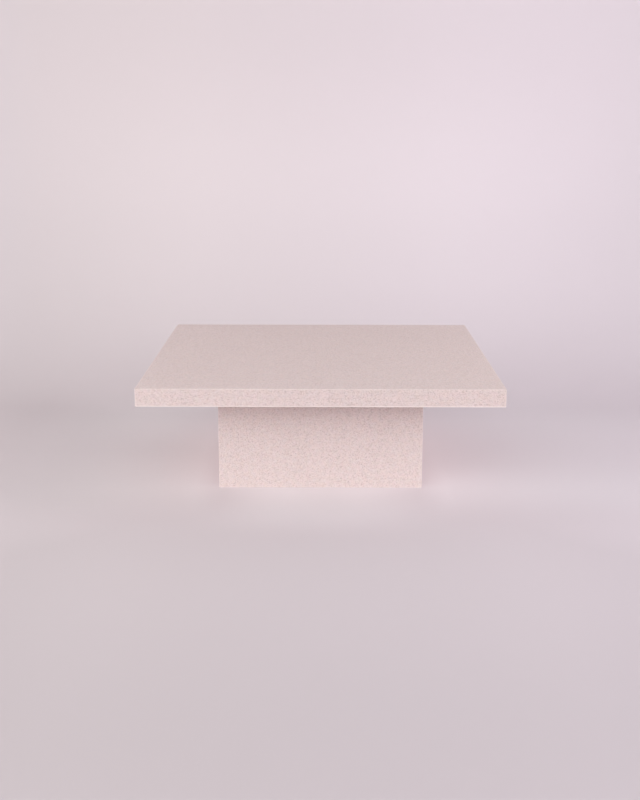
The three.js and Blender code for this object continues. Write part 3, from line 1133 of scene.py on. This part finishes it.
@dataclass
class SlabBolts:
    """Flanged hexagon bolts that hold the slab down, put in from inside the plinth."""

    head_flats: float = 13.0 * MM
    head_height: float = 6.0 * MM
    head_cone: float = 1.1 * MM
    pole_radius: float = 0.1 * MM
    dish_share: float = 0.30
    dish_depth: float = 0.5 * MM
    dish_bevel: float = 0.4 * MM
    dish_lip: float = 0.1 * MM
    flange_radius: float = 10.0 * MM
    flange_height: float = 2.0 * MM
    flange_slope: tuple[Span, ...] = ((0.80, 0.2 * MM), (0.96, 0.9 * MM))
    flange_round: float = 0.5 * MM
    flange_lean: float = -60.0
    shank_radius: float = 4.0 * MM
    shank_fillet: float = 0.4 * MM
    shank_point: float = 1.0 * MM

    def build(self) -> None:
        """Makes each bolt in place of its plain solid."""
        zinc = shared(ZincPlate())
        for name in Corner.names("slab_bolt"):
            piece = new_piece(f"{name}_fine", [self._skin(name)], zinc)
            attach(piece, TABLE_BODY)
            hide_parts(name)
            log.info("%s built", piece.name)

    def _skin(self, name: str) -> list[Ring]:
        """Turns one bolt.

        Args:
            name: Node that it stands for.

        Returns:
            The bolt's rings.
        """
        low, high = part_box(name)
        bolt = Turning.within(name)
        dish = self.dish_share * self.head_flats
        dished = low[2] + self.dish_depth
        under = low[2] + self.head_height
        seat = under + self.flange_height
        shank, fillet, soft = self.shank_radius, self.shank_fillet, self.flange_round
        bolt.round((self.pole_radius, dished), (dish, dished))
        bolt.round((dish + self.dish_bevel, low[2] + self.dish_lip))
        bolt.hexagon(self.head_flats, low[2], under, self.head_cone, both=False)
        bolt.round(*((share * self.flange_radius, under + rise) for share, rise in self.flange_slope))
        bolt.arc((self.flange_radius - soft, seat - soft), soft, self.flange_lean, UP)
        bolt.round((shank + fillet, seat), (shank, seat + fillet))
        bolt.round((shank, high[2] - self.shank_point), (shank - self.shank_point, high[2]))
        return bolt.rings


@dataclass
class LevellingFeet:
    """Four screw feet, each a nut in the plinth, a stem with a ball end, and a swivel pad."""

    ball_radius: float = 5.5 * MM
    ball_steps: int = 16
    neck_radius: float = 3.0 * MM
    neck_length: float = 2.0 * MM
    neck_fillet: float = 0.5 * MM
    collar_flats: float = 17.0 * MM
    collar_height: float = 6.0 * MM
    collar_cone: float = 1.2 * MM
    stem_radius: float = 5.0 * MM
    stem_bevel: float = 0.4 * MM
    thread_depth: float = 0.92 * MM
    thread_margin: float = 0.8 * MM
    pitch: float = 1.5 * MM
    pad_radius: float = 20.0 * MM
    pad_floor: float = 2.0 * MM
    pad_round: float = 0.9 * MM
    pole_radius: float = 0.2 * MM
    rim_height: float = 3.0 * MM
    rim_slope: Span = (3.2 * MM, 1.0 * MM)
    rim_lean: float = 60.0
    socket_radius: float = 5.8 * MM
    socket_steps: int = 14
    hub_wall: float = 3.5 * MM
    hub_lean: float = 20.0
    hub_sweep: tuple[Span, ...] = ((2.6 * MM, 2.3 * MM), (0.9 * MM, 1.2 * MM))
    bore_radius: float = 5.3 * MM
    barrel_radius: float = 6.8 * MM
    flange_radius: float = 11.0 * MM
    flange_height: float = 1.5 * MM
    nut_round: float = 0.4 * MM
    nut_steps: int = 4

    def build(self) -> None:
        """Makes each foot in place of its plain solids."""
        zinc = shared(ZincPlate())
        nylon = shared(MouldedNylon())
        for corner in Corner:
            place = corner.label
            self._fit(f"foot_nut_{place}", self._nut, zinc, TABLE_BODY, looped=True)
            self._fit(f"foot_stem_{place}", self._stem, zinc, f"stem_{place}")
            self._fit(f"foot_pad_{place}", self._pad, nylon, f"pad_{place}")

    def _fit(
        self,
        node: str,
        turn: Callable[[Turning, float, float], None],
        material: bpy.types.Material,
        body: str,
        looped: bool = False,
    ) -> None:
        """Makes one piece in place of a node.

        Args:
            node: Node that it stands for.
            turn: Method that turns it, given its lowest and highest levels.
            material: Its finish.
            body: Body that it rides on.
            looped: Whether it has a bore right through.
        """
        low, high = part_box(node)
        turning = Turning.within(node)
        turn(turning, low[2], high[2])
        piece = new_piece(f"{node}_fine", [turning.rings], material, looped)
        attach(piece, body)
        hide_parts(node)
        log.info("%s built", piece.name)

    def _nut(self, nut: Turning, low: float, high: float) -> None:
        """Turns a flanged nut.

        Args:
            nut: Turning to add to.
            low: Its lowest level.
            high: Its highest level.
        """
        soft, bore, barrel = self.nut_round, self.bore_radius, self.barrel_radius
        rim = self.flange_radius - soft
        top = low + self.flange_height
        nut.round((bore, low + soft), (bore + soft, low))
        nut.arc((rim, low + soft), soft, DOWN, OUTWARDS, self.nut_steps)
        nut.arc((rim, top - soft), soft, OUTWARDS, UP, self.nut_steps)
        nut.round((barrel, top), (barrel, high - soft), (barrel - soft, high))
        nut.round((bore + soft, high), (bore, high - soft))

    def _stem(self, stem: Turning, low: float, high: float) -> None:
        """Turns a screwed stem with a ball below and a collar for a spanner.

        Args:
            stem: Turning to add to.
            low: Its lowest level.
            high: Its highest level.
        """
        middle = low + self.ball_radius
        neck = math.degrees(math.acos(self.neck_radius / self.ball_radius))
        collar = middle + self.ball_radius * math.sin(math.radians(neck)) + self.neck_length
        shoulder = collar + self.collar_height
        root = self.stem_radius - self.thread_depth
        screw = (shoulder + self.thread_margin, high - self.thread_margin)
        stem.arc((0.0, middle), self.ball_radius, NADIR, neck, self.ball_steps)
        stem.round((self.neck_radius, collar - self.neck_fillet))
        stem.round((self.neck_radius + self.neck_fillet, collar))
        stem.hexagon(self.collar_flats, collar, shoulder, self.collar_cone, both=True)
        stem.round((root + self.stem_bevel, shoulder), (root, shoulder + self.stem_bevel))
        stem.thread(self.stem_radius, self.thread_depth, self.pitch, *screw)
        stem.round((root - self.stem_bevel, high))

    def _pad(self, pad: Turning, low: float, high: float) -> None:
        """Turns a moulded pad with a socket for the ball.

        Args:
            pad: Turning to add to.
            low: Its lowest level.
            high: Its highest level.
        """
        soft = self.pad_round
        rim = self.pad_radius - soft
        brim = low + self.rim_height
        hub = self.socket_radius + self.hub_wall
        middle = low + self.pad_floor + self.socket_radius
        lip = math.degrees(math.asin((high - middle) / self.socket_radius))
        pad.round((self.pole_radius, low), (0.5 * rim, low), (rim, low))
        pad.arc((rim, low + soft), soft, DOWN, OUTWARDS)
        pad.arc((rim, brim - soft), soft, OUTWARDS, self.rim_lean)
        pad.round((rim - self.rim_slope[0], brim + self.rim_slope[1]))
        pad.round(*((hub + out, high - down) for out, down in self.hub_sweep))
        pad.arc((hub - soft, high - soft), soft, self.hub_lean, UP)
        pad.arc((0.0, middle), self.socket_radius, lip, NADIR, self.socket_steps)


@dataclass
class PhotoCamera:
    """Camera fitted to the corners of the table in a 640 by 800 picture."""

    picture_height: float = 800.0
    focal_px: float = 1215.6
    sensor: float = 36.0
    place: Point = (0.0045, -3.311, 0.966)
    tilt: float = math.radians(13.47)
    yaw: float = math.radians(-0.116)
    roll: float = math.radians(0.097)

    def build(self) -> None:
        """Makes the camera and gives it to the scene."""
        data = bpy.data.cameras.new("photo_camera")
        data.sensor_width = self.sensor
        data.lens = self.focal_px * self.sensor / self.picture_height
        camera = bpy.data.objects.new("photo_camera", data)
        bpy.context.scene.collection.objects.link(camera)
        ahead = Vector((
            math.sin(self.yaw) * math.cos(self.tilt),
            math.cos(self.yaw) * math.cos(self.tilt),
            -math.sin(self.tilt),
        ))
        level = Vector((math.cos(self.yaw), -math.sin(self.yaw), 0.0))
        upright = level.cross(ahead)
        right = math.cos(self.roll) * level + math.sin(self.roll) * upright
        up = math.cos(self.roll) * upright - math.sin(self.roll) * level
        turn = Matrix((right, up, -ahead)).transposed()
        camera.matrix_world = Matrix.Translation(self.place) @ turn.to_4x4()
        bpy.context.scene.camera = camera
        log.info("photo_camera placed")


@dataclass(frozen=True)
class SweepPaper:
    """Matte paper of the sweep, with painted light and shade in soft gradients over it, that can be seen
    through from behind.

    Places are in metres from the middle of the table. Each span says where a change starts and ends.
    """

    bend_start: float
    apron_below: float
    # Colours of the paper at its left and its right; the left is darker, painted shade across the paper.
    left: Colour = (0.643, 0.575, 0.591)
    right: Colour = (0.666, 0.593, 0.639)
    tint_across: Span = (-1.0, 1.2)
    roughness: float = 0.9
    specular_level: float = 0.1
    # Light that the plinth's face throws on the floor before it.
    bounce: Colour = (1.26, 1.33, 1.31)
    bounce_rise: Span = (-0.66, -0.27)
    bounce_fall: Span = (-0.27, -0.21)
    bounce_aside: Span = (0.05, 0.38)
    # Light that gets in under the slab, weaker in the lee of the plinth and towards the front.
    lift: Colour = (1.28, 1.34, 1.32)
    lift_rise: Span = (-0.55, -0.25)
    lift_fall: Span = (0.4, 0.9)
    lift_left: Span = (-0.98, -0.45)
    lift_right: Span = (0.38, 1.35)
    lift_clear: Span = (0.24, 0.34)
    lift_across: Span = (-0.3, 0.3)
    lift_forward: Span = (-0.25, 0.0)
    lift_lee: Span = (1.0, 0.65)
    lift_depth: Span = (0.05, 0.45)
    lift_far: Span = (0.6, 1.0)
    # Painted shade on the far paper towards its sides.
    side_aside: Span = (0.4, 1.5)
    side_fade: Span = (1.03, 0.88)
    side_depth: Span = (0.3, 0.9)
    side_height: Span = (0.5, 1.3)
    side_high: Span = (1.0, 0.5)
    # Painted shade on the near floor and on its sides, and on the wall; painted light on the apron beyond
    # the bend.
    front_depth: Span = (-1.7, -0.8)
    front_fade: float = 0.91
    edge_aside: Span = (0.40, 0.80)
    edge_depth: Span = (-0.9, -0.5)
    edge_fade: float = 0.93
    wall_height: Span = (0.6, 1.35)
    wall_fade: float = 0.89
    apron_tone: float = 1.25
    # Where the paper runs into the surround.
    haze_reach: Span = (1.5, 2.3)
    haze_stretch: Span = (1.3, 0.85)
    haze_height: Span = (1.7, 2.6)

    def material(self) -> bpy.types.Material:
        """Builds the finish.

        Returns:
            Its material.
        """
        graph = Graph("sweep_paper")
        place = graph.channels(graph.coords)
        x, _, z = place
        apron = graph.math("LESS_THAN", z, self.apron_below)
        # The paper's colour carries painted light and shade: its tint across, the bounce, the lift and the
        # fades.
        colour = graph.mix(graph.remap(x, self.tint_across, RISING), self.left, self.right)
        colour = graph.wash(colour, self._bounced(graph, place), self.bounce)
        colour = graph.wash(colour, self._lifted(graph, place), self.lift)
        fade = graph.product(
            self._sides(graph, place),
            self._front(graph, place),
            graph.remap(z, self.wall_height, (1.0, self.wall_fade)),
            graph.remap(apron, RISING, (1.0, self.apron_tone)),
        )
        colour = graph.mix(1.0, colour, graph.vector(fade, fade, fade), "MULTIPLY")
        graph.set(Base_Color=colour, Roughness=self.roughness, Specular_IOR_Level=self.specular_level)
        seen = self._haze(graph, place, apron)
        behind = graph.node("ShaderNodeNewGeometry").outputs["Backfacing"]
        laid = graph.layer(behind, seen, graph.node("ShaderNodeBsdfTransparent").outputs[0])
        graph.feed(graph.tree.nodes["Material Output"].inputs["Surface"], laid)
        return graph.material

    def _bounced(self, graph: Graph, place: Sockets) -> Socket:
        """Finds the floor in front of the plinth, which its face lights.

        Args:
            graph: Material under way.
            place: Places across, in depth and in height.

        Returns:
            Socket of the share.
        """
        x, y, _ = place
        before = graph.window(y, self.bounce_rise, self.bounce_fall)
        return graph.product(before, graph.remap(graph.math("ABSOLUTE", x), self.bounce_aside, FALLING))

    def _lifted(self, graph: Graph, place: Sockets) -> Socket:
        """Finds the floor in the slab's shade, beside the plinth and behind it.

        Args:
            graph: Material under way.
            place: Places across, in depth and in height.

        Returns:
            Socket of the share.
        """
        x, y, _ = place
        across = graph.remap(x, self.lift_across, self.lift_lee)
        forward = graph.remap(y, self.lift_forward, self.lift_lee)
        return graph.product(
            graph.window(y, self.lift_rise, self.lift_fall),
            graph.window(x, self.lift_left, self.lift_right),
            graph.remap(graph.math("ABSOLUTE", x), self.lift_clear, RISING),
            graph.math("MAXIMUM", across, forward),
            graph.remap(y, self.lift_depth, self.lift_far),
        )

    def _sides(self, graph: Graph, place: Sockets) -> Socket:
        """Paints shade on the far paper towards its sides, less of it higher up.

        Args:
            graph: Material under way.
            place: Places across, in depth and in height.

        Returns:
            Socket of a number to multiply by.
        """
        x, y, z = place
        fade = graph.remap(graph.math("ABSOLUTE", x), self.side_aside, self.side_fade)
        far = graph.remap(y, self.side_depth, RISING)
        high = graph.remap(z, self.side_height, self.side_high)
        change = graph.product(graph.math("SUBTRACT", fade, 1.0), far, high)
        return graph.math("ADD", change, 1.0)

    def _front(self, graph: Graph, place: Sockets) -> Socket:
        """Paints shade on the near floor, and more of it on its sides.

        Args:
            graph: Material under way.
            place: Places across, in depth and in height.

        Returns:
            Socket of a number to multiply by.
        """
        x, y, _ = place
        near = graph.remap(y, self.front_depth, (self.front_fade, 1.0))
        aside = graph.remap(graph.math("ABSOLUTE", x), self.edge_aside, (1.0, self.edge_fade))
        depth = graph.remap(y, self.edge_depth, (self.edge_fade, 1.0))
        return graph.product(near, graph.math("MAXIMUM", aside, depth))

    def _haze(self, graph: Graph, place: Sockets, apron: Socket) -> Socket:
        """Lets the far paper run into the surround, where it is looked at and not where it gives light.

        Args:
            graph: Material under way.
            place: Places across, in depth and in height.
            apron: One on the apron behind the bend, nought elsewhere.

        Returns:
            The shader's socket.
        """
        x, y, z = place
        beyond = graph.math("MULTIPLY", apron, graph.math("SUBTRACT", y, self.bend_start))
        ahead = graph.math("ADD", graph.math("MINIMUM", y, self.bend_start), beyond)
        across = graph.math("MULTIPLY", x, self.haze_stretch[0])
        along = graph.math("MULTIPLY", ahead, self.haze_stretch[1])
        reach = graph.node("ShaderNodeVectorMath", operation="LENGTH")
        graph.feed(reach.inputs[0], graph.vector(across, along, 0.0))
        away = graph.remap(reach.outputs["Value"], self.haze_reach, RISING)
        far = graph.math("MAXIMUM", away, graph.remap(z, self.haze_height, RISING))
        rays = graph.node("ShaderNodeLightPath").outputs
        looked_at = graph.math("MAXIMUM", rays["Is Camera Ray"], rays["Is Glossy Ray"])
        glow = graph.node("ShaderNodeEmission")
        graph.feed(glow.inputs["Color"], SURROUND)
        return graph.layer(graph.product(far, looked_at), graph.shader.outputs[0], glow.outputs[0])


@dataclass
class Sweep:
    """Paper sweep: a pale floor that curves up into a wall behind the table.

    Its opening is just wider than the hollow plinth, so that the inside can be looked at and lit from below.
    Beyond the bend an apron carries the floor on, for views from behind.
    """

    half_width: float = 6.0
    opening: float = 0.2652
    front: float = -6.0
    bend_start: float = 0.62
    bend_radius: float = 1.1
    bend_steps: int = 32
    wall_top: float = 4.5
    apron_end: float = 6.0
    apron_drop: float = 1.0 * MM

    def build(self) -> None:
        """Makes the sweep as part of the stage."""
        profile = self._profile()
        points = [(sign * self.half_width, y, z) for y, z in profile for sign in (-1, 1)]
        faces = [(2 * i, 2 * i + 1, 2 * i + 3, 2 * i + 2) for i in range(len(profile) - 1)]
        for left, right, near, far, level in self._flats():
            start = len(points)
            points += [(left, near, level), (right, near, level), (right, far, level), (left, far, level)]
            faces.append(tuple(range(start, len(points))))
        mesh = bpy.data.meshes.new("sweep")
        mesh.from_pydata(points, [], faces)
        mesh.shade_smooth()
        sweep = bpy.data.objects.new("sweep", mesh)
        bpy.context.scene.collection.objects.link(sweep)
        show(sweep, SweepPaper(self.bend_start, -self.apron_drop / 2).material())
        log.info("sweep built")

    def _profile(self) -> list[Span]:
        """Draws the section of the paper, from the opening to the wall's top.

        Returns:
            Depths and heights that it runs through.
        """
        profile = [(self.opening, 0.0), (self.bend_start, 0.0)]
        for step in range(1, self.bend_steps + 1):
            angle = math.pi / 2 * step / self.bend_steps
            y = self.bend_start + self.bend_radius * math.sin(angle)
            profile.append((y, self.bend_radius * (1 - math.cos(angle))))
        profile.append((self.bend_start + self.bend_radius, self.wall_top))
        return profile

    def _flats(self) -> list[tuple[float, ...]]:
        """Lists the flat pieces of the floor: both sides of the opening, the front and the apron.

        Returns:
            Left, right, near and far limits and level of each.
        """
        edge, hole = self.half_width, self.opening
        return [
            (-edge, -hole, -hole, hole, 0.0),
            (hole, edge, -hole, hole, 0.0),
            (-edge, edge, self.front, -hole, 0.0),
            (-edge, edge, self.bend_start, self.apron_end, -self.apron_drop),
        ]


@dataclass(frozen=True)
class SoftBox:
    """One rectangular soft light."""

    name: str
    place: Point
    aim: Point
    width: float
    height: float
    watts: float

    def build(self) -> None:
        """Hangs the light."""
        data = bpy.data.lights.new(self.name, "AREA")
        data.shape = "RECTANGLE"
        data.size = self.width
        data.size_y = self.height
        data.energy = self.watts
        lamp = bpy.data.objects.new(self.name, data)
        lamp.location = self.place
        lamp.rotation_euler = (Vector(self.aim) - Vector(self.place)).to_track_quat("-Z", "Y").to_euler()
        lamp.visible_camera = False
        bpy.context.scene.collection.objects.link(lamp)
        log.info("%s hung", self.name)


@dataclass
class Studio:
    """Soft plain light from the front, and an even fill."""

    fill: float = 0.02
    lamps: tuple[SoftBox, ...] = (
        SoftBox("front_high", (0.0, -3.4, 2.8), (0.0, 0.0, 0.2), 3.6, 1.4, 35.0),
        SoftBox("front_middle", (0.0, -4.2, 1.9), (0.0, 0.0, 0.2), 4.0, 1.4, 34.0),
        SoftBox("front_left", (-2.8, -3.6, 1.1), (0.0, 0.0, 0.15), 1.6, 1.6, 43.5),
        SoftBox("front_right", (2.8, -3.6, 1.1), (0.0, 0.0, 0.15), 1.6, 1.6, 30.0),
        SoftBox("side_left", (-3.2, -0.6, 1.4), (0.0, 0.0, 0.2), 1.8, 1.8, 67.0),
        SoftBox("side_right", (3.2, -0.6, 1.4), (0.0, 0.0, 0.2), 1.8, 1.8, 58.5),
        SoftBox("high_left", (-2.8, -0.6, 2.8), (0.0, 0.0, 0.2), 1.8, 1.8, 6.5),
        SoftBox("high_right", (2.8, -0.6, 2.8), (0.0, 0.0, 0.2), 1.8, 1.8, 25.5),
        SoftBox("wall_wash", (0.0, 0.62, 1.5), (0.0, 1.72, 1.5), 4.0, 0.5, 6.0),
        SoftBox("under_light", (0.0, -0.3, -1.4), (0.0, 0.0, 0.0), 1.2, 1.2, 26.0),
    )

    def build(self) -> None:
        """Lights the scene."""
        bpy.context.scene.world = self._surround()
        for lamp in self.lamps:
            lamp.build()

    def _surround(self) -> bpy.types.World:
        """Makes the world: the surround's colour where it is looked at, and a weak fill as light.

        Returns:
            The world.
        """
        world = bpy.data.worlds.new("studio")
        world.use_nodes = True
        tree = world.node_tree
        shade = tree.nodes["Background"]
        shade.inputs["Color"].default_value = (*SURROUND, 1.0)
        rays = tree.nodes.new("ShaderNodeLightPath").outputs
        seen = tree.nodes.new("ShaderNodeMath")
        seen.operation = "MAXIMUM"
        tree.links.new(rays["Is Camera Ray"], seen.inputs[0])
        tree.links.new(rays["Is Glossy Ray"], seen.inputs[1])
        level = tree.nodes.new("ShaderNodeMapRange")
        level.inputs["To Min"].default_value = self.fill
        tree.links.new(seen.outputs[0], level.inputs["Value"])
        tree.links.new(level.outputs[0], shade.inputs["Strength"])
        return world


def main() -> None:
    """Builds the camera, the table and the studio in order."""
    bpy.context.scene.view_settings.view_transform = "Standard"
    PhotoCamera().build()
    Slab().build()
    Plinth().build()
    SlabBolts().build()
    LevellingFeet().build()
    Sweep().build()
    Studio().build()


if __name__ == "__main__":
    main()
